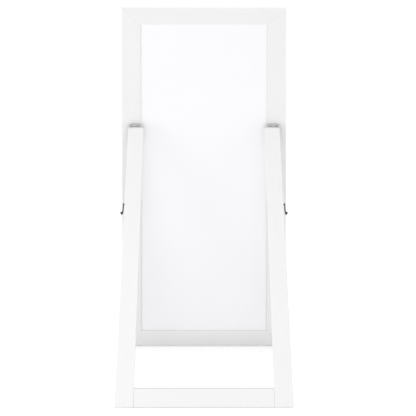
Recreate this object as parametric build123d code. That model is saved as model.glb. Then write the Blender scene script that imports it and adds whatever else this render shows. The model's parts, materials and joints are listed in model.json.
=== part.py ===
from build123d import *

import math
import os

# Standing mirror on a folding easel. All sizes are in millimetres and degrees.
# +Z is up, +X is to the right seen from the easel side, and the glass faces +Y.
# The origin is on the floor, at the middle of the footprint.

# Mirror frame: one moulding, mitred at the four corners
FRAME_WIDTH = 600.0
FRAME_HEIGHT = 1530.0
FRAME_FACE = 70.0  # width of the back face of the moulding
FRAME_DEPTH = 18.0
LIP_WIDTH = 8.0  # the front lip covers the edge of the glass
REBATE_DEPTH = 12.0
LIP_EDGE = 2.0  # thickness of the lip where it meets the glass
FRONT_BEVEL = 12.0  # width of the slope that runs down to the glass
FRONT_ROUND = 8.0
BACK_EASE = 1.5
REBATE_EASE = 0.6
MITRE_GAP = 0.3

# What lies in the rebate, from the back to the front
PANEL_RECESS = 2.5
PANEL_THICK = 3.0
PANEL_CLEARANCE = 0.4
FOAM_THICK = 2.2
GLASS_THICK = 4.0
GLASS_CLEARANCE = 1.5
LAYER_GAP = 0.1

# Fasteners hidden in the mirror frame
BISCUIT_LENGTH = 56.0
BISCUIT_WIDTH = 23.0
BISCUIT_THICK = 4.0
SLOT_CLEARANCE = 0.15
PIN_RADIUS = 0.8
PIN_LENGTH = 15.0
PIN_SHOWING = 6.0
STILE_PIN_COUNT = 6
RAIL_PIN_COUNT = 2

# Stance: the mirror leans towards the easel, and the easel opens from the mirror
LEAN = 6.5
OPENING = 23.3
PAD_THICK = 2.5

# Hinges
HINGE_UP = 1010.0  # from the bottom edge of the frame, along its back
HINGE_OUT = 253.0  # from the middle plane to the middle of a hinge
BARREL_RADIUS = 3.5
BARREL_LENGTH = 34.0
KNUCKLE_GAP = 0.25
AXIS_OFFSET = 3.8  # from the wood to the hinge axis
LEAF_THICK = 1.5
LEAF_LENGTH = 34.0
LEAF_NOTCH = 4.4
HINGE_PIN_RADIUS = 1.5
HINGE_PIN_CLEARANCE = 0.05
HINGE_PIN_HEAD = 2.4
HINGE_PIN_HEAD_THICK = 1.0
SCREW_RADIUS = 1.4
SCREW_HEAD_RADIUS = 2.8
SCREW_HEAD_THICK = 1.3
SCREW_LENGTH = 13.0
SCREW_TIP = 3.0
SCREW_CLEARANCE = 0.05

# Easel: two tapered legs and a foot rail
LEG_THICK = 20.0
LEG_TOP = 5.0  # the leg starts this far below the hinge axis
LEG_OUTER_TOP = 276.5
LEG_OUTER_FOOT = 328.0
LEG_INNER_TOP = 219.8
LEG_INNER_FOOT = 258.5
LEG_EASE = 2.5
FOOT_RAIL_HEIGHT = 70.0
DOWEL_RADIUS = 4.0
DOWEL_LENGTH = 44.0
DOWEL_CLEARANCE = 0.05
DOWEL_HEIGHTS = (20.0, 48.0)

# Floor pads
FRAME_PAD_LENGTH = 56.0
FRAME_PAD_DEPTH = 13.0
FRAME_PAD_OUT = 255.0
LEG_PAD_LENGTH = 48.0
LEG_PAD_DEPTH = 15.0
PAD_CORNER = 4.0

# Safety chains, from the outer side of each leg to the outer side of the frame
CHAIN_LEG_DOWN = 293.0  # below the hinge axis, along the leg
CHAIN_FRAME_DOWN = 406.0  # below the hinge axis, along the frame
CHAIN_SAG = 22.0
LINK_WIRE = 0.8
LINK_HALF_WIDTH = 2.1
LINK_INNER_LENGTH = 9.4
LINK_COUNT = 23
CHAIN_LEVEL_PART = 0.9  # share of the chain over which it moves outward
CHAIN_SCREW_RADIUS = 1.1
CHAIN_SCREW_DEPTH = 16.0
CHAIN_SCREW_HEAD = 3.3
CHAIN_SCREW_HEAD_THICK = 2.2
CHAIN_SCREW_COLLAR = 2.6
CHAIN_SCREW_NECK = 2.2
LEG_COLLAR_THICK = 1.9
FRAME_COLLAR_THICK = 2.3

# Worked out from the driving dimensions
HALF_WIDTH = FRAME_WIDTH / 2
MOULDING = FRAME_FACE + LIP_WIDTH
LEG_LEAN = OPENING - LEAN
LEAN_SIN = math.sin(math.radians(LEAN))
LEAN_COS = math.cos(math.radians(LEAN))
LEG_SIN = math.sin(math.radians(LEG_LEAN))
LEG_COS = math.cos(math.radians(LEG_LEAN))
HINGE_BACK = HINGE_UP * LEAN_SIN + AXIS_OFFSET * LEAN_COS
HINGE_HEIGHT = PAD_THICK + HINGE_UP * LEAN_COS - AXIS_OFFSET * LEAN_SIN
LEG_OUTER_FACE = AXIS_OFFSET + LEG_THICK
LEG_LENGTH = (HINGE_HEIGHT - PAD_THICK + LEG_OUTER_FACE * LEG_SIN) / LEG_COS
FOOT_BACK = HINGE_BACK + LEG_OUTER_FACE * LEG_COS + LEG_LENGTH * LEG_SIN
FRONT_REACH = (FRAME_DEPTH - FRONT_ROUND) * LEAN_COS - FRONT_ROUND * LEAN_SIN + FRONT_ROUND
BASE_Y = (FOOT_BACK - FRONT_REACH) / 2

FRAME_PLACE = Pos(0, BASE_Y, PAD_THICK) * Rot(LEAN, 0, 0)
EASEL_PLACE = Pos(0, BASE_Y - HINGE_BACK, HINGE_HEIGHT) * Rot(-LEG_LEAN, 0, 0)
BIG = 3000.0

os.makedirs("parts", exist_ok=True)


def block(low, high):
    """Box between two opposite corners."""
    size = [b - a for a, b in zip(low, high)]
    middle = [(a + b) / 2 for a, b in zip(low, high)]
    return Pos(*middle) * Box(*size)


def above(height):
    """Everything above a level."""
    return block((-BIG, -BIG, height), (BIG, BIG, BIG))


def rod(radius, start, end):
    """Round rod between two points."""
    path = Line(start, end)
    return extrude(Plane(path @ 0, z_dir=path % 0) * Circle(radius), path.length)


def turned(points):
    """Solid of revolution about Z from (radius, height) points."""
    outline = Polyline(*[(radius, 0, height) for radius, height in points], close=True)
    return revolve(make_face(outline), Axis.Z)


def mirrored(shape):
    """The same piece on the other side of the middle plane."""
    return mirror(shape, Plane.YZ)


def group(shapes):
    """Separate solids kept together in one node."""
    return Compound(children=[solid for shape in shapes for solid in shape.solids()])


def save(name, shape):
    shape.label = name
    export_step(shape, f"parts/{name}.step")


def edges_at(shape, axis, spots):
    """Edges along an axis that pass through the given (first, second) cross positions."""
    found = []
    for edge in shape.edges().filter_by(axis):
        middle = edge.center()
        cross = (middle.Y, middle.Z) if axis == Axis.X else (middle.X, middle.Y)
        if any(math.dist(cross, spot) < 0.01 for spot in spots):
            found.append(edge)
    return found


# Mirror frame, built upright: the back face is at y = 0 and the bottom edge at z = 0
def moulding(length):
    """Mitred bar along X with its outer edge at z = 0 and its inner edge above it."""
    outline = Polyline(
        (0, 0),
        (0, FRAME_FACE),
        (REBATE_DEPTH, FRAME_FACE),
        (REBATE_DEPTH, MOULDING),
        (REBATE_DEPTH + LIP_EDGE, MOULDING),
        (FRAME_DEPTH, MOULDING - FRONT_BEVEL),
        (FRAME_DEPTH, 0),
        close=True,
    )
    start = Plane.YZ.offset(-length / 2)
    bar = extrude(start * make_face(outline), length)
    bar = fillet(edges_at(bar, Axis.X, [(FRAME_DEPTH, 0)]), FRONT_ROUND)
    bar = fillet(edges_at(bar, Axis.X, [(0, 0)]), BACK_EASE)
    bar = fillet(edges_at(bar, Axis.X, [(0, FRAME_FACE)]), REBATE_EASE)
    half = length / 2 - MITRE_GAP / math.sqrt(2)
    mitred = Polyline(
        (-half, 0), (half, 0), (half - MOULDING, MOULDING), (MOULDING - half, MOULDING), close=True
    )
    keep = extrude(Plane.XZ * make_face(mitred), FRAME_DEPTH * 2, both=True)
    return bar & keep


def corner_biscuits(clearance=0.0):
    """One lens-shaped plate across each mitre."""
    half_length = BISCUIT_LENGTH / 2 + clearance
    half_width = BISCUIT_WIDTH / 2 + clearance
    upper = ThreePointArc((-half_length, 0), (0, half_width), (half_length, 0))
    lower = ThreePointArc((half_length, 0), (0, -half_width), (-half_length, 0))
    lens = make_face(Wire([upper, lower]))
    thickness = BISCUIT_THICK + 2 * clearance
    plate = extrude(Plane.XZ * lens, thickness / 2, both=True)
    middle = FRAME_FACE / 2
    plates = []
    for side in (-1, 1):
        for z, turn in ((middle, -45 * side), (FRAME_HEIGHT - middle, 45 * side)):
            x = side * (HALF_WIDTH - middle)
            plates.append(Pos(x, FRAME_DEPTH / 2, z) * Rot(0, -turn, 0) * plate)
    return plates


def panel_pin_ends():
    """Start and end of each pin that holds the backing panel in the rebate."""
    y = PANEL_RECESS - PIN_RADIUS - LAYER_GAP
    inner = HALF_WIDTH - FRAME_FACE
    hidden = PIN_LENGTH - PIN_SHOWING
    ends = []
    opening = FRAME_HEIGHT - 2 * FRAME_FACE
    for side in (-1, 1):
        for index in range(STILE_PIN_COUNT):
            z = FRAME_FACE + opening * (index + 0.5) / STILE_PIN_COUNT
            ends.append(((side * (inner + hidden), y, z), (side * (inner - PIN_SHOWING), y, z)))
    for wall, inward in ((FRAME_FACE, 1), (FRAME_HEIGHT - FRAME_FACE, -1)):
        for index in range(RAIL_PIN_COUNT):
            x = inner * (2 * (index + 0.5) / RAIL_PIN_COUNT - 1)
            ends.append(((x, y, wall - inward * hidden), (x, y, wall + inward * PIN_SHOWING)))
    return ends


def panel_pins(clearance=0.0):
    return [rod(PIN_RADIUS + clearance, start, end) for start, end in panel_pin_ends()]


def sheet(thickness, y, clearance):
    """Rectangular sheet that lies in the rebate with its back face at y."""
    x = HALF_WIDTH - FRAME_FACE - clearance
    low = FRAME_FACE + clearance
    return block((-x, y, low), (x, y + thickness, FRAME_HEIGHT - low))


# Hinge hardware, built about a hinge axis along X with the wood at y = AXIS_OFFSET
def knuckle_spans():
    third = BARREL_LENGTH / 3
    edges = [-BARREL_LENGTH / 2 + third * index for index in range(4)]
    gap = KNUCKLE_GAP / 2
    first = (edges[0], edges[1] - gap)
    second = (edges[1] + gap, edges[2] - gap)
    third = (edges[2] + gap, edges[3])
    return first, second, third


def leaf_screw_spots():
    """Screw centres on a leaf, as x and z from the hinge axis."""
    wide = BARREL_LENGTH / 2 - 6.5
    return ((-wide, -12.0), (wide, -12.0), (0.0, -27.0))


def countersunk_screw(clearance=0.0):
    """Wood screw along -Z with its flat head at z = 0 and a cross recess."""
    head = SCREW_HEAD_RADIUS + clearance
    shank = SCREW_RADIUS + clearance
    screw = turned(
        [
            (0, 0),
            (head, 0),
            (shank, -SCREW_HEAD_THICK),
            (shank, SCREW_TIP - SCREW_LENGTH),
            (0, -SCREW_LENGTH - clearance),
        ]
    )
    if clearance:
        return screw
    for turn in (0, 90):
        screw -= Rot(0, 0, turn) * Box(SCREW_HEAD_RADIUS, 0.7, 1.2)
    return screw


def leaf_screws(clearance=0.0):
    """The three screws of one leaf, with their heads flush with its open face."""
    level = AXIS_OFFSET - LEAF_THICK
    place = Rot(90, 0, 0)
    return [
        Pos(x, level, z) * place * countersunk_screw(clearance) for x, z in leaf_screw_spots()
    ]


def hinge_leaf(spans):
    """Leaf with a knuckle over each of the given spans of the barrel."""
    near = AXIS_OFFSET - LEAF_THICK
    half = BARREL_LENGTH / 2
    leaf = block((-half, near, -LEAF_LENGTH), (half, AXIS_OFFSET, -LEAF_NOTCH))
    corners = leaf.edges().filter_by(Axis.Y).group_by(Axis.Z)[0]
    leaf = fillet(corners, PAD_CORNER)
    for start, end in spans:
        leaf += block((start, near, -LEAF_NOTCH), (end, AXIS_OFFSET, 0))
        leaf += rod(BARREL_RADIUS, (start, 0, 0), (end, 0, 0))
    bore = HINGE_PIN_RADIUS + HINGE_PIN_CLEARANCE
    leaf -= rod(bore, (-half - 1, 0, 0), (half + 1, 0, 0))
    for screw in leaf_screws(SCREW_CLEARANCE):
        leaf -= screw
    return leaf


def hinge_pin():
    """Pin with a thin round head at each end of the barrel."""
    half = BARREL_LENGTH / 2
    pin = rod(HINGE_PIN_RADIUS, (-half - LAYER_GAP, 0, 0), (half + LAYER_GAP, 0, 0))
    for side in (-1, 1):
        start = side * (half + LAYER_GAP)
        end = start + side * HINGE_PIN_HEAD_THICK
        head = rod(HINGE_PIN_HEAD, (start, 0, 0), (end, 0, 0))
        pin += fillet(head.edges().group_by(Axis.X)[-1 if side > 0 else 0], 0.5)
    return pin


# Easel, built about the hinge axis at the origin with the legs running down
def leg_edge(top, foot, z):
    """Half-span of a leg edge at a height below the hinge axis."""
    share = (-z - LEG_TOP) / (LEG_LENGTH - LEG_TOP)
    return top + (foot - top) * share


def leg_outer(z):
    return leg_edge(LEG_OUTER_TOP, LEG_OUTER_FOOT, z)


def leg_inner(z):
    return leg_edge(LEG_INNER_TOP, LEG_INNER_FOOT, z)


def easel_board(corners):
    """Board of the easel's thickness with the given (x, z) corners."""
    outline = make_face(Polyline(*corners, close=True))
    board = extrude(Plane.XZ * outline, LEG_THICK)
    return Pos(0, -AXIS_OFFSET, 0) * board


def right_leg():
    low = -LEG_LENGTH - LEG_THICK
    leg = easel_board(
        [
            (leg_inner(-LEG_TOP), -LEG_TOP),
            (leg_outer(-LEG_TOP), -LEG_TOP),
            (leg_outer(low), low),
            (leg_inner(low), low),
        ]
    )
    bottom = leg.faces().sort_by(Axis.Z)[0]
    ends = leg.edges().filter_by(lambda edge: abs(edge.tangent_at(0).Y) < 0.5)
    ends = [edge for edge in ends if abs(edge.center().Z - bottom.center().Z) > 1]
    return fillet(ends, LEG_EASE)


def foot_rail():
    low = -LEG_LENGTH - LEG_THICK
    high = FOOT_RAIL_HEIGHT - LEG_LENGTH
    rail = easel_board(
        [(leg_inner(high), high), (leg_inner(low), low), (-leg_inner(low), low), (-leg_inner(high), high)]
    )
    top = rail.faces().sort_by(Axis.Z)[-1]
    return fillet(top.edges().filter_by(Axis.X), LEG_EASE)


def foot_rail_dowels(clearance=0.0):
    dowels = []
    y = -AXIS_OFFSET - LEG_THICK / 2
    half = DOWEL_LENGTH / 2 + clearance
    for height in DOWEL_HEIGHTS:
        z = height - LEG_LENGTH
        x = leg_inner(z)
        dowel = rod(DOWEL_RADIUS + clearance, (x - half, y, z), (x + half, y, z))
        dowels += [dowel, mirrored(dowel)]
    return dowels


# Safety chain hardware
def chain_screw(collar, clearance=0.0):
    """Round-headed screw along -Z; the chain's end link turns on its neck above the wood."""
    shank = CHAIN_SCREW_RADIUS + clearance
    neck_end = collar + CHAIN_SCREW_NECK
    head_end = neck_end + CHAIN_SCREW_HEAD_THICK
    outline = [
        (0, -CHAIN_SCREW_DEPTH - clearance),
        (shank, SCREW_TIP - CHAIN_SCREW_DEPTH),
        (shank, 0),
        (CHAIN_SCREW_COLLAR, 0),
        (CHAIN_SCREW_COLLAR, collar),
        (CHAIN_SCREW_RADIUS, collar),
        (CHAIN_SCREW_RADIUS, neck_end),
        (CHAIN_SCREW_HEAD, neck_end),
        (CHAIN_SCREW_HEAD * 0.8, head_end - 0.5),
        (CHAIN_SCREW_HEAD * 0.45, head_end),
        (0, head_end),
    ]
    return turned(outline)


def chain_screw_hole():
    """Pilot hole along -Z for a chain screw."""
    radius = CHAIN_SCREW_RADIUS + SCREW_CLEARANCE
    return rod(radius, (0, 0, 1), (0, 0, -CHAIN_SCREW_DEPTH - 1))


FRAME_SCREW_SPOT = Pos(HALF_WIDTH, FRAME_DEPTH / 2, HINGE_UP - CHAIN_FRAME_DOWN) * Rot(0, 90, 0)
LEG_SPLAY = math.degrees(math.atan2(LEG_OUTER_FOOT - LEG_OUTER_TOP, LEG_LENGTH - LEG_TOP))
LEG_SCREW_SPOT = Pos(
    leg_outer(-CHAIN_LEG_DOWN), -AXIS_OFFSET - LEG_THICK / 2, -CHAIN_LEG_DOWN
) * Rot(0, 90 - LEG_SPLAY, 0)


def chain_ends():
    """Centres of the two end loops of the right chain, in the object's frame."""
    level = CHAIN_SCREW_NECK / 2
    leg_end = EASEL_PLACE * LEG_SCREW_SPOT * Pos(0, 0, LEG_COLLAR_THICK + level)
    frame_end = FRAME_PLACE * FRAME_SCREW_SPOT * Pos(0, 0, FRAME_COLLAR_THICK + level)
    return leg_end.position, frame_end.position


def chain_point(start, end, share):
    """Point on the hanging chain, from the leg at 0 to the frame at 1."""
    outward = min(1.0, share / CHAIN_LEVEL_PART)
    x = start.X + (end.X - start.X) * outward
    y = start.Y + (end.Y - start.Y) * share
    z = start.Z + (end.Z - start.Z) * share - 4 * CHAIN_SAG * share * (1 - share)
    return Vector(x, y, z)


def chain_link():
    """One oval link with its length along X, lying flat across Z."""
    end = (LINK_INNER_LENGTH + 2 * LINK_WIRE) / 2 - LINK_HALF_WIDTH
    bars = [
        rod(LINK_WIRE, (-end, side * LINK_HALF_WIDTH, 0), (end, side * LINK_HALF_WIDTH, 0))
        for side in (-1, 1)
    ]
    ring = Torus(LINK_HALF_WIDTH, LINK_WIRE)
    half_ring = ring & block((0, -BIG, -BIG), (BIG, BIG, BIG))
    caps = [Pos(end, 0, 0) * half_ring, Rot(0, 0, 180) * Pos(end, 0, 0) * half_ring]
    link = bars[0]
    for piece in bars[1:] + caps:
        link += piece
    return link


def chain_links():
    """Links of the right chain, each turned a quarter from the one before."""
    start, end = chain_ends()
    steps = 4000
    points = [chain_point(start, end, index / steps) for index in range(steps + 1)]
    travelled = [0.0]
    for before, after in zip(points, points[1:]):
        travelled.append(travelled[-1] + (after - before).length)
    inset = LINK_INNER_LENGTH / 2 - CHAIN_SCREW_RADIUS - 0.2
    pitch = (travelled[-1] - 2 * inset) / (LINK_COUNT - 1)
    print(f"chain: {travelled[-1]:.1f} mm along its curve, pitch {pitch:.2f} mm, "
          f"slack at each joint {LINK_INNER_LENGTH - pitch:.2f} mm")
    link = chain_link()
    links = []
    for number in range(LINK_COUNT):
        along = inset + number * pitch
        index = next(i for i, length in enumerate(travelled) if length >= along)
        tangent = (points[min(index + 1, steps)] - points[index - 1]).normalized()
        side = (Vector(1, 0, 0) - tangent * tangent.X).normalized()
        normal = side if number % 2 == 0 else tangent.cross(side)
        links.append(Plane(points[index], x_dir=tangent, z_dir=normal).location * link)
    return links


# Assemble the mirror frame, upright
biscuit_slots = corner_biscuits(SLOT_CLEARANCE)
pin_holes = panel_pins(SCREW_CLEARANCE)
frame_hinge_spot = Pos(HINGE_OUT, -AXIS_OFFSET, HINGE_UP)
frame_screws = [frame_hinge_spot * screw for screw in leaf_screws()]
frame_screw_holes = [frame_hinge_spot * screw for screw in leaf_screws(SCREW_CLEARANCE)]
chain_hole = FRAME_SCREW_SPOT * chain_screw_hole()

rails = {
    "bottom_rail": moulding(FRAME_WIDTH),
    "top_rail": Pos(0, 0, FRAME_HEIGHT) * Rot(0, 180, 0) * moulding(FRAME_WIDTH),
    "right_stile": Pos(HALF_WIDTH, 0, FRAME_HEIGHT / 2) * Rot(0, -90, 0) * moulding(FRAME_HEIGHT),
    "left_stile": Pos(-HALF_WIDTH, 0, FRAME_HEIGHT / 2) * Rot(0, 90, 0) * moulding(FRAME_HEIGHT),
}
stile_holes = frame_screw_holes + [chain_hole]
side_holes = {
    "bottom_rail": [],
    "top_rail": [],
    "right_stile": stile_holes,
    "left_stile": [mirrored(hole) for hole in stile_holes],
}
for name, rail in rails.items():
    rail = rail - (biscuit_slots + pin_holes + side_holes[name])
    save(name, FRAME_PLACE * rail)

save("corner_biscuits", group([FRAME_PLACE * plate for plate in corner_biscuits()]))
save("panel_pins", group([FRAME_PLACE * pin for pin in panel_pins()]))

foam_back = PANEL_RECESS + PANEL_THICK + LAYER_GAP
glass_back = REBATE_DEPTH - LAYER_GAP - GLASS_THICK
save("backing_panel", FRAME_PLACE * sheet(PANEL_THICK, PANEL_RECESS, PANEL_CLEARANCE))
save("foam_sheet", FRAME_PLACE * sheet(FOAM_THICK, foam_back, GLASS_CLEARANCE))
save("mirror_glass", FRAME_PLACE * sheet(GLASS_THICK, glass_back, GLASS_CLEARANCE))

# Assemble the hinges
first, second, third = knuckle_spans()
frame_leaf = frame_hinge_spot * hinge_leaf([first, third])
hinge_pin_piece = frame_hinge_spot * hinge_pin()
leg_hinge_spot = Pos(HINGE_OUT, 0, 0)
leg_leaf = leg_hinge_spot * mirror(hinge_leaf([second]), Plane.XZ)
leg_screws = [leg_hinge_spot * mirror(screw, Plane.XZ) for screw in leaf_screws()]
leg_screw_holes = [
    leg_hinge_spot * mirror(screw, Plane.XZ) for screw in leaf_screws(SCREW_CLEARANCE)
]

save("right_frame_hinge_leaf", FRAME_PLACE * frame_leaf)
save("left_frame_hinge_leaf", FRAME_PLACE * mirrored(frame_leaf))
save("right_hinge_pin", FRAME_PLACE * hinge_pin_piece)
save("left_hinge_pin", FRAME_PLACE * mirrored(hinge_pin_piece))
save("right_leg_hinge_leaf", EASEL_PLACE * leg_leaf)
save("left_leg_hinge_leaf", EASEL_PLACE * mirrored(leg_leaf))
both_frame_screws = frame_screws + [mirrored(screw) for screw in frame_screws]
both_leg_screws = leg_screws + [mirrored(screw) for screw in leg_screws]
save("frame_hinge_screws", group([FRAME_PLACE * screw for screw in both_frame_screws]))
save("leg_hinge_screws", group([EASEL_PLACE * screw for screw in both_leg_screws]))

# Assemble the easel; its foot ends are sawn level with the floor
level_floor = above(PAD_THICK)
dowel_holes = foot_rail_dowels(DOWEL_CLEARANCE)
leg = right_leg() - (leg_screw_holes + dowel_holes + [LEG_SCREW_SPOT * chain_screw_hole()])
save("right_leg", (EASEL_PLACE * leg) & level_floor)
save("left_leg", (EASEL_PLACE * mirrored(leg)) & level_floor)
save("foot_rail", (EASEL_PLACE * (foot_rail() - dowel_holes)) & level_floor)
save("foot_rail_dowels", group([EASEL_PLACE * dowel for dowel in foot_rail_dowels()]))

# Assemble the chains and their screws
frame_chain_screw = FRAME_SCREW_SPOT * chain_screw(FRAME_COLLAR_THICK)
leg_chain_screw = LEG_SCREW_SPOT * chain_screw(LEG_COLLAR_THICK)
save(
    "frame_chain_screws",
    group([FRAME_PLACE * frame_chain_screw, FRAME_PLACE * mirrored(frame_chain_screw)]),
)
save(
    "leg_chain_screws",
    group([EASEL_PLACE * leg_chain_screw, EASEL_PLACE * mirrored(leg_chain_screw)]),
)
right_chain = chain_links()
save("right_stay_chain", group(right_chain))
save("left_stay_chain", group([mirrored(link) for link in right_chain]))

# Floor pads: the frame's pads are wedges, because the frame leans
pad_outline = RectangleRounded(FRAME_PAD_LENGTH, FRAME_PAD_DEPTH, PAD_CORNER)
frame_pad = extrude(Pos(FRAME_PAD_OUT, FRAME_DEPTH / 2, 0) * pad_outline, -3 * PAD_THICK)
frame_pad = (FRAME_PLACE * frame_pad) & above(0)
save("frame_floor_pads", group([frame_pad, mirrored(frame_pad)]))

foot_middle = (leg_inner(-LEG_LENGTH) + leg_outer(-LEG_LENGTH)) / 2
foot_back_y = BASE_Y - FOOT_BACK
leg_pad_y = foot_back_y + LEG_THICK / LEG_COS / 2
leg_pad_outline = RectangleRounded(LEG_PAD_LENGTH, LEG_PAD_DEPTH, PAD_CORNER)
leg_pad = extrude(Pos(foot_middle, leg_pad_y, 0) * leg_pad_outline, PAD_THICK)
save("leg_floor_pads", group([leg_pad, mirrored(leg_pad)]))

# Figures that the record repeats
hinge_y = BASE_Y - HINGE_BACK
frame_pad_y = (FRAME_PLACE * Pos(0, FRAME_DEPTH / 2, 0)).position.Y
print(f"hinge axis at y {hinge_y:.3f}, z {HINGE_HEIGHT:.3f}; leg length {LEG_LENGTH:.1f}")
print(f"frame pads at x {FRAME_PAD_OUT:.1f}, y {frame_pad_y:.2f}")
print(f"leg pads at x {foot_middle:.2f}, y {leg_pad_y:.2f}; base line at y {BASE_Y:.2f}")
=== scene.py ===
import json
import math

import bmesh
import bpy
from mathutils import Matrix, Vector


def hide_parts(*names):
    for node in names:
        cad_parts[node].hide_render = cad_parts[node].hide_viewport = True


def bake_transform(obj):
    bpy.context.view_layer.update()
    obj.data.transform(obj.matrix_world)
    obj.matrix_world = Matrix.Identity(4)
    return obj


# A standing mirror on a folding easel, seen from the easel side and from above.
# Every size is in metres and every angle in degrees unless it says otherwise.

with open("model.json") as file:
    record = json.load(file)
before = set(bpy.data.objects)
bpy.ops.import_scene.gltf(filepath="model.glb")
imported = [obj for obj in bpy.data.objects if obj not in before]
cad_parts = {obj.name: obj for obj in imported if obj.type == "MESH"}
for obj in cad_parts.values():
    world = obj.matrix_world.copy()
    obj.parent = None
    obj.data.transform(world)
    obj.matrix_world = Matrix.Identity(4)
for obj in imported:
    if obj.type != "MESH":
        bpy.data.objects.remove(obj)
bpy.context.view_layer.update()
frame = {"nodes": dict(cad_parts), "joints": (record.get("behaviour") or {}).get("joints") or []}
nodes = frame["nodes"]
scene = bpy.context.scene

# Stance of the object, as in its source
LEAN = math.radians(6.5)
LEG_LEAN = math.radians(23.3) - LEAN
HINGE_UP = 1.010
AXIS_OFFSET = 0.0038
FRAME_DEPTH = 0.018
LEG_THICK = 0.020
HALF_WIDTH = 0.300
HINGE = Vector(frame["joints"][0]["pos_m"])

FRAME_UP = Vector((0, -math.sin(LEAN), math.cos(LEAN)))
FRAME_FRONT = Vector((0, math.cos(LEAN), math.sin(LEAN)))
LEG_UP = Vector((0, math.sin(LEG_LEAN), math.cos(LEG_LEAN)))
LEG_FRONT = Vector((0, math.cos(LEG_LEAN), -math.sin(LEG_LEAN)))
BASE = HINGE + AXIS_OFFSET * FRAME_FRONT - HINGE_UP * FRAME_UP

# Camera: far away, above the object, level with the photograph's frame
PHOTO_SIDE = 416
METRES_PER_PIXEL = 0.600 / 163.85
MIDDLE_COLUMN = 204.0
BASE_ROW = 346.5
CAMERA_ELEVATION = math.radians(30)
CAMERA_DISTANCE = 73.0
SENSOR = 36.0
CAMERA_REACH = 200


def add_camera():
    """Camera that puts the frame's lower edge and middle plane where the photograph has them."""
    rise = (BASE_ROW - PHOTO_SIDE / 2) * METRES_PER_PIXEL
    aim = BASE + FRAME_UP * rise / math.cos(LEAN + CAMERA_ELEVATION)
    aim.x = (PHOTO_SIDE / 2 - MIDDLE_COLUMN) * METRES_PER_PIXEL
    back = Vector((0, -math.cos(CAMERA_ELEVATION), math.sin(CAMERA_ELEVATION)))
    data = bpy.data.cameras.new("camera")
    data.sensor_width = SENSOR
    data.lens = SENSOR * CAMERA_DISTANCE / (PHOTO_SIDE * METRES_PER_PIXEL)
    data.clip_end = CAMERA_REACH
    camera = bpy.data.objects.new("camera", data)
    scene.collection.objects.link(camera)
    camera.location = aim + back * CAMERA_DISTANCE
    camera.rotation_mode = "QUATERNION"
    camera.rotation_quaternion = (-back).to_track_quat("-Z", "Y")
    scene.camera = camera


# Light. Each softbox has its place, the point that it faces, its size and its power in watts.
WORLD_LIGHT = 0.78
FLOOR_COLOUR = 0.92
FLOOR_GLOW = 0.24
FLOOR_REACH = 60.0
MIDDLE = (0, 0, 0.7)
SOFTBOXES = {
    "front": ((0, -6.0, 1.5), MIDDLE, (5.0, 2.5), 32),
    "low": ((-0.6, -3.2, 0.25), (0, 0.1, 0.2), (2.5, 0.4), 11),
    "left": ((-4.5, -1.5, 1.2), MIDDLE, (3.0, 2.2), 38),
    "right": ((4.5, -1.5, 1.2), MIDDLE, (3.0, 2.2), 18),
    "top": ((0, 1.0, 5.0), MIDDLE, (3.0, 3.0), 48),
}


def pale_rays(tree):
    """Factor that is 1 for the camera, glossy and transmission rays that show the surroundings."""
    path = tree.nodes.new("ShaderNodeLightPath")
    first = tree.nodes.new("ShaderNodeMath")
    first.operation = "MAXIMUM"
    second = tree.nodes.new("ShaderNodeMath")
    second.operation = "MAXIMUM"
    tree.links.new(path.outputs["Is Camera Ray"], first.inputs[0])
    tree.links.new(path.outputs["Is Glossy Ray"], first.inputs[1])
    tree.links.new(first.outputs[0], second.inputs[0])
    tree.links.new(path.outputs["Is Transmission Ray"], second.inputs[1])
    return second.outputs[0]


def light_world():
    """Even light from all round, seen as plain white."""
    world = bpy.data.worlds.new("studio")
    world.use_nodes = True
    tree = world.node_tree
    tree.nodes.clear()
    light = tree.nodes.new("ShaderNodeBackground")
    light.inputs["Color"].default_value = (1, 1, 1, 1)
    light.inputs["Strength"].default_value = WORLD_LIGHT
    seen = tree.nodes.new("ShaderNodeBackground")
    seen.inputs["Color"].default_value = (1, 1, 1, 1)
    seen.inputs["Strength"].default_value = 1.0
    mix = tree.nodes.new("ShaderNodeMixShader")
    out = tree.nodes.new("ShaderNodeOutputWorld")
    tree.links.new(pale_rays(tree), mix.inputs[0])
    tree.links.new(light.outputs[0], mix.inputs[1])
    tree.links.new(seen.outputs[0], mix.inputs[2])
    tree.links.new(mix.outputs[0], out.inputs["Surface"])
    scene.world = world


def add_softbox(name, place, aim, size, power):
    """Large soft lamp at a place, turned to face the aim."""
    data = bpy.data.lights.new(name, "AREA")
    data.shape = "RECTANGLE"
    data.size, data.size_y = size
    data.energy = power
    lamp = bpy.data.objects.new(name, data)
    scene.collection.objects.link(lamp)
    lamp.location = place
    lamp.rotation_euler = (Vector(aim) - Vector(place)).to_track_quat("-Z", "Y").to_euler()


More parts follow.
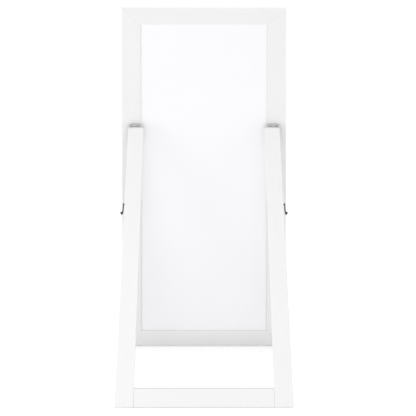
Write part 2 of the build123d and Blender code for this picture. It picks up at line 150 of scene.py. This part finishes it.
def add_floor():
    """Pale floor that keeps the object's shadow and reads as white where it is lit."""
    mesh = bpy.data.meshes.new("floor")
    turns = ((-1, -1), (1, -1), (1, 1), (-1, 1))
    corners = [(x * FLOOR_REACH, y * FLOOR_REACH, 0) for x, y in turns]
    mesh.from_pydata(corners, [], [(0, 1, 2, 3)])
    floor = bpy.data.objects.new("floor", mesh)
    scene.collection.objects.link(floor)
    material = bpy.data.materials.new("floor")
    material.use_nodes = True
    tree = material.node_tree
    tree.nodes.clear()
    diffuse = tree.nodes.new("ShaderNodeBsdfDiffuse")
    diffuse.inputs["Color"].default_value = (FLOOR_COLOUR, FLOOR_COLOUR, FLOOR_COLOUR, 1)
    glow = tree.nodes.new("ShaderNodeEmission")
    glow.inputs["Strength"].default_value = FLOOR_GLOW
    add = tree.nodes.new("ShaderNodeAddShader")
    mix = tree.nodes.new("ShaderNodeMixShader")
    out = tree.nodes.new("ShaderNodeOutputMaterial")
    tree.links.new(diffuse.outputs[0], add.inputs[0])
    tree.links.new(glow.outputs[0], add.inputs[1])
    tree.links.new(pale_rays(tree), mix.inputs[0])
    tree.links.new(diffuse.outputs[0], mix.inputs[1])
    tree.links.new(add.outputs[0], mix.inputs[2])
    tree.links.new(mix.outputs[0], out.inputs["Surface"])
    mesh.materials.append(material)


# Materials
def new_material(name, colour, roughness, metallic=0.0):
    """Material with its tree, its main shader and a texture space in the object's own metres."""
    material = bpy.data.materials.new(name)
    material.use_nodes = True
    tree = material.node_tree
    shader = tree.nodes["Principled BSDF"]
    shader.inputs["Base Color"].default_value = (*colour, 1)
    shader.inputs["Roughness"].default_value = roughness
    shader.inputs["Metallic"].default_value = metallic
    space = tree.nodes.new("ShaderNodeTexCoord")
    return material, tree, shader, space.outputs["Object"]


def stretched(tree, space, scale):
    """Texture space with a different scale along each axis."""
    mapping = tree.nodes.new("ShaderNodeMapping")
    mapping.inputs["Scale"].default_value = scale
    tree.links.new(space, mapping.inputs["Vector"])
    return mapping.outputs["Vector"]


def noise(tree, space, scale, detail, roughness):
    """Factor of a cloudy noise."""
    texture = tree.nodes.new("ShaderNodeTexNoise")
    texture.inputs["Scale"].default_value = scale
    texture.inputs["Detail"].default_value = detail
    texture.inputs["Roughness"].default_value = roughness
    tree.links.new(space, texture.inputs["Vector"])
    return texture.outputs["Fac"]


def ramp(tree, factor, stops):
    """Colour ramp through (position, colour) stops."""
    node = tree.nodes.new("ShaderNodeValToRGB")
    node.color_ramp.elements[0].position = stops[0][0]
    node.color_ramp.elements[1].position = stops[-1][0]
    for position, _ in stops[1:-1]:
        node.color_ramp.elements.new(position)
    for element, (_, colour) in zip(node.color_ramp.elements, stops):
        element.color = (*colour, 1)
    tree.links.new(factor, node.inputs["Fac"])
    return node.outputs["Color"]


def span(tree, factor, low, high):
    """A factor from 0 to 1 moved to run from low to high."""
    node = tree.nodes.new("ShaderNodeMapRange")
    node.inputs["To Min"].default_value = low
    node.inputs["To Max"].default_value = high
    tree.links.new(factor, node.inputs["Value"])
    return node.outputs["Result"]


def mixed(tree, first, second, share):
    """Two factors added in shares."""
    node = tree.nodes.new("ShaderNodeMix")
    node.inputs["Factor"].default_value = share
    tree.links.new(first, node.inputs["A"])
    tree.links.new(second, node.inputs["B"])
    return node.outputs["Result"]


def bump(tree, shader, height, distance, strength, before=None):
    """Relief of a height in metres on a shader, over any relief that comes before it."""
    node = tree.nodes.new("ShaderNodeBump")
    node.inputs["Strength"].default_value = strength
    node.inputs["Distance"].default_value = distance
    tree.links.new(height, node.inputs["Height"])
    if before is not None:
        tree.links.new(before, node.inputs["Normal"])
    tree.links.new(node.outputs["Normal"], shader.inputs["Normal"])
    return node.outputs["Normal"]


PAINT = (0.822, 0.822, 0.822)
PAINT_DULL = (0.808, 0.808, 0.808)


def painted_wood(name, along):
    """White satin paint over straight-grained wood. along is the axis that the grain follows."""
    material, tree, shader, space = new_material(name, PAINT, 0.42)
    fibre_scale = [420.0, 420.0, 420.0]
    fibre_scale["xyz".index(along)] = 9.0
    fibres = noise(tree, stretched(tree, space, fibre_scale), 1.0, 5.0, 0.6)
    ring_scale = [55.0, 55.0, 55.0]
    ring_scale["xyz".index(along)] = 2.2
    rings = noise(tree, stretched(tree, space, ring_scale), 1.0, 3.0, 0.45)
    clouds = noise(tree, space, 7.0, 3.0, 0.5)
    shade = mixed(tree, rings, clouds, 0.5)
    colour = ramp(tree, shade, [(0.3, PAINT_DULL), (0.7, PAINT)])
    tree.links.new(colour, shader.inputs["Base Color"])
    tree.links.new(span(tree, fibres, 0.36, 0.5), shader.inputs["Roughness"])
    speckle = noise(tree, space, 900.0, 2.0, 0.5)
    relief = bump(tree, shader, fibres, 0.00012, 0.5)
    relief = bump(tree, shader, rings, 0.0004, 0.25, relief)
    bump(tree, shader, speckle, 0.00006, 0.4, relief)
    return material


def panel_board():
    """Cool-white laminate on hardboard: smooth, with a faint pressed texture."""
    pale, dull = (0.895, 0.895, 0.915), (0.885, 0.885, 0.905)
    material, tree, shader, space = new_material("panel_board", pale, 0.34)
    clouds = noise(tree, space, 3.5, 3.0, 0.5)
    colour = ramp(tree, clouds, [(0.3, dull), (0.7, pale)])
    tree.links.new(colour, shader.inputs["Base Color"])
    pressed = noise(tree, space, 650.0, 3.0, 0.55)
    tree.links.new(span(tree, pressed, 0.3, 0.4), shader.inputs["Roughness"])
    bump(tree, shader, pressed, 0.00005, 0.4)
    return material


def mirror_silver():
    """Silvered float glass: a clean reflection with the slight green cast of the glass."""
    colour, edge = (0.87, 0.90, 0.885), (0.86, 0.885, 0.872)
    material, tree, shader, space = new_material("mirror_silver", colour, 0.015, 1.0)
    clouds = noise(tree, space, 5.0, 2.0, 0.5)
    tree.links.new(ramp(tree, clouds, [(0.35, edge), (0.65, colour)]), shader.inputs["Base Color"])
    tree.links.new(span(tree, clouds, 0.008, 0.025), shader.inputs["Roughness"])
    shader.inputs["Coat Weight"].default_value = 0.6
    shader.inputs["Coat Roughness"].default_value = 0.01
    return material


def foam_white():
    """White packing foam with small closed cells."""
    material, tree, shader, space = new_material("foam_white", (0.86, 0.86, 0.86), 0.9)
    cells = tree.nodes.new("ShaderNodeTexVoronoi")
    cells.inputs["Scale"].default_value = 700.0
    tree.links.new(space, cells.inputs["Vector"])
    stops = [(0.1, (0.78, 0.78, 0.78)), (0.8, (0.88, 0.88, 0.88))]
    tree.links.new(ramp(tree, cells.outputs["Distance"], stops), shader.inputs["Base Color"])
    bump(tree, shader, cells.outputs["Distance"], 0.0004, 0.6)
    return material


def bare_wood():
    """Unfinished beech with its fibres along X."""
    pale, dark = (0.62, 0.45, 0.28), (0.47, 0.31, 0.17)
    material, tree, shader, space = new_material("bare_wood", pale, 0.62)
    fibres = noise(tree, stretched(tree, space, (30.0, 500.0, 500.0)), 1.0, 5.0, 0.6)
    tree.links.new(ramp(tree, fibres, [(0.3, dark), (0.7, pale)]), shader.inputs["Base Color"])
    bump(tree, shader, fibres, 0.0002, 0.5)
    return material


def plated_steel():
    """Zinc-plated steel with rolling marks and a little dullness."""
    bright, dull = (0.66, 0.66, 0.67), (0.48, 0.48, 0.49)
    material, tree, shader, space = new_material("plated_steel", bright, 0.38, 1.0)
    marks = noise(tree, stretched(tree, space, (60.0, 1800.0, 1800.0)), 1.0, 3.0, 0.5)
    spangle = noise(tree, space, 260.0, 3.0, 0.6)
    both = mixed(tree, marks, spangle, 0.5)
    tree.links.new(ramp(tree, both, [(0.35, dull), (0.65, bright)]), shader.inputs["Base Color"])
    tree.links.new(span(tree, spangle, 0.28, 0.5), shader.inputs["Roughness"])
    bump(tree, shader, marks, 0.00004, 0.5)
    return material


def painted_steel():
    """The frame's paint over small steel pins, with a fine stipple."""
    material, tree, shader, space = new_material("painted_steel", PAINT, 0.42)
    stipple = noise(tree, space, 900.0, 3.0, 0.5)
    colour = ramp(tree, stipple, [(0.3, PAINT_DULL), (0.7, PAINT)])
    tree.links.new(colour, shader.inputs["Base Color"])
    tree.links.new(span(tree, stipple, 0.36, 0.5), shader.inputs["Roughness"])
    bump(tree, shader, stipple, 0.00006, 0.5)
    return material


def dark_steel():
    """Blackened steel wire with faint rubbed highlights."""
    dark, rubbed = (0.018, 0.018, 0.02), (0.06, 0.06, 0.065)
    material, tree, shader, space = new_material("dark_steel", dark, 0.45, 0.6)
    wear = noise(tree, space, 420.0, 4.0, 0.6)
    tree.links.new(ramp(tree, wear, [(0.45, dark), (0.75, rubbed)]), shader.inputs["Base Color"])
    tree.links.new(span(tree, wear, 0.36, 0.6), shader.inputs["Roughness"])
    bump(tree, shader, wear, 0.00005, 0.5)
    return material


def rubber_grey():
    """Matt pale grey rubber with a fine grain."""
    material, tree, shader, space = new_material("rubber_grey", (0.66, 0.66, 0.65), 0.75)
    grain = noise(tree, space, 800.0, 3.0, 0.6)
    stops = [(0.3, (0.6, 0.6, 0.59)), (0.7, (0.7, 0.7, 0.69))]
    tree.links.new(ramp(tree, grain, stops), shader.inputs["Base Color"])
    bump(tree, shader, grain, 0.0001, 0.6)
    return material


def felt_pale():
    """Pale felt of short tangled fibres."""
    material, tree, shader, space = new_material("felt_pale", (0.72, 0.72, 0.70), 0.95)
    fibres = noise(tree, space, 1500.0, 6.0, 0.75)
    stops = [(0.3, (0.6, 0.6, 0.58)), (0.7, (0.78, 0.78, 0.76))]
    tree.links.new(ramp(tree, fibres, stops), shader.inputs["Base Color"])
    shader.inputs["Sheen Weight"].default_value = 0.3
    bump(tree, shader, fibres, 0.0004, 0.8)
    return material


def dress_nodes():
    """Gives every node of the frame its material, and returns that of the chains."""
    along_x = painted_wood("painted_wood_across", "x")
    along_z = painted_wood("painted_wood_upright", "z")
    steel, dark = plated_steel(), dark_steel()
    dress = {
        along_x: ["top_rail", "bottom_rail", "foot_rail"],
        along_z: ["left_stile", "right_stile", "left_leg", "right_leg"],
        painted_steel(): ["panel_pins"],
        panel_board(): ["backing_panel"],
        mirror_silver(): ["mirror_glass"],
        foam_white(): ["foam_sheet"],
        bare_wood(): ["corner_biscuits", "foot_rail_dowels"],
        steel: [
            "left_frame_hinge_leaf", "right_frame_hinge_leaf", "left_leg_hinge_leaf",
            "right_leg_hinge_leaf", "left_hinge_pin", "right_hinge_pin",
            "frame_hinge_screws", "leg_hinge_screws",
        ],
        dark: ["frame_chain_screws", "leg_chain_screws"],
        rubber_grey(): ["frame_floor_pads"],
        felt_pale(): ["leg_floor_pads"],
    }
    for material, names in dress.items():
        for name in names:
            mesh = nodes[name].data
            mesh.materials.clear()
            mesh.materials.append(material)
    return dark


# Arrises of the frame
EASE_WIDTH = 0.0012
EASE_STEPS = 2
SHARP_EDGE = math.radians(50)


def ease_edges():
    """Softens the arrises of the four frame pieces, which leaves a groove along each mitre."""
    for name in ("top_rail", "bottom_rail", "left_stile", "right_stile"):
        ease = nodes[name].modifiers.new("ease", "BEVEL")
        ease.width = EASE_WIDTH
        ease.segments = EASE_STEPS
        ease.limit_method = "ANGLE"
        ease.angle_limit = SHARP_EDGE
        ease.harden_normals = True


# Safety chains: the same links as in the object's source, built as meshes
CHAIN_LEG_DOWN = 0.293
CHAIN_FRAME_DOWN = 0.406
CHAIN_SAG = 0.022
CHAIN_LEVEL_PART = 0.9
LINK_COUNT = 23
LINK_WIRE = 0.0008
LINK_HALF_WIDTH = 0.0021
LINK_INNER_LENGTH = 0.0094
END_INSET = LINK_INNER_LENGTH / 2 - 0.0013
LEG_END_OUT = 0.2908
FRAME_END_OUT = HALF_WIDTH
LEG_STAND_OFF = 0.0030
FRAME_STAND_OFF = 0.0034
WIRE_SIDES = 10
CAP_STEPS = 10
CURVE_STEPS = 2000


def chain_point(start, end, share):
    """Point on the hanging chain, from the leg at 0 to the frame at 1."""
    outward = min(1.0, share / CHAIN_LEVEL_PART)
    point = start.lerp(end, share)
    point.x = start.x + (end.x - start.x) * outward
    point.z -= 4 * CHAIN_SAG * share * (1 - share)
    return point


def link_centreline():
    """Points round one oval link that lies flat across Z with its length along X."""
    end = LINK_INNER_LENGTH / 2 + LINK_WIRE - LINK_HALF_WIDTH
    points = []
    for side in (1, -1):
        for step in range(CAP_STEPS + 1):
            turn = math.pi * (step / CAP_STEPS - 0.5)
            points.append(
                Vector((
                    side * (end + LINK_HALF_WIDTH * math.cos(turn)),
                    side * LINK_HALF_WIDTH * math.sin(turn),
                    0,
                ))
            )
    return points


def add_link(mesh, place):
    """One wire link added to a mesh, as a closed tube round its centreline."""
    centre = link_centreline()
    count = len(centre)
    rings = []
    for index, point in enumerate(centre):
        ahead = centre[(index + 1) % count] - centre[index - 1]
        outward = Vector((ahead.y, -ahead.x, 0)).normalized()
        ring = []
        for side in range(WIRE_SIDES):
            turn = 2 * math.pi * side / WIRE_SIDES
            offset = outward * math.cos(turn) + Vector((0, 0, 1)) * math.sin(turn)
            ring.append(mesh.verts.new(place @ (point + offset * LINK_WIRE)))
        rings.append(ring)
    for index in range(count):
        first, second = rings[index], rings[(index + 1) % count]
        for side in range(WIRE_SIDES):
            after = (side + 1) % WIRE_SIDES
            mesh.faces.new((first[side], first[after], second[after], second[side]))


def add_chain(side, material):
    """The chain on one side of the object; side is 1 for the right and -1 for the left."""
    name = "right" if side > 0 else "left"
    mid_leg = AXIS_OFFSET + LEG_THICK / 2
    start = HINGE - CHAIN_LEG_DOWN * LEG_UP - mid_leg * LEG_FRONT
    start.x = LEG_END_OUT + LEG_STAND_OFF
    end = BASE + (HINGE_UP - CHAIN_FRAME_DOWN) * FRAME_UP + FRAME_DEPTH / 2 * FRAME_FRONT
    end.x = FRAME_END_OUT + FRAME_STAND_OFF
    points = [chain_point(start, end, step / CURVE_STEPS) for step in range(CURVE_STEPS + 1)]
    travelled = [0.0]
    for before, after in zip(points, points[1:]):
        travelled.append(travelled[-1] + (after - before).length)
    pitch = (travelled[-1] - 2 * END_INSET) / (LINK_COUNT - 1)
    mesh = bmesh.new()
    for number in range(LINK_COUNT):
        along = END_INSET + number * pitch
        index = next(i for i, length in enumerate(travelled) if length >= along)
        tangent = (points[min(index + 1, CURVE_STEPS)] - points[index - 1]).normalized()
        across = (Vector((1, 0, 0)) - tangent * tangent.x).normalized()
        normal = across if number % 2 == 0 else tangent.cross(across)
        turn = Matrix((tangent, normal.cross(tangent), normal)).transposed().to_4x4()
        add_link(mesh, Matrix.Translation(points[index]) @ turn)
    if side < 0:
        bmesh.ops.scale(mesh, vec=(-1, 1, 1), verts=mesh.verts)
    bmesh.ops.recalc_face_normals(mesh, faces=mesh.faces)
    data = bpy.data.meshes.new(f"{name}_chain")
    mesh.to_mesh(data)
    mesh.free()
    data.shade_smooth()
    data.materials.append(material)
    chain = bpy.data.objects.new(f"{name}_chain", data)
    scene.collection.objects.link(chain)
    low, high = start.copy(), end.copy()
    low.x = high.x = side * (start.x + end.x) / 2
    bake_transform(chain)
    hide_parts(f"{name}_stay_chain")


scene.view_settings.view_transform = "Standard"
add_camera()
light_world()
add_floor()
for name, settings in SOFTBOXES.items():
    add_softbox(name, *settings)
dark_material = dress_nodes()
ease_edges()
for side in (-1, 1):
    add_chain(side, dark_material)
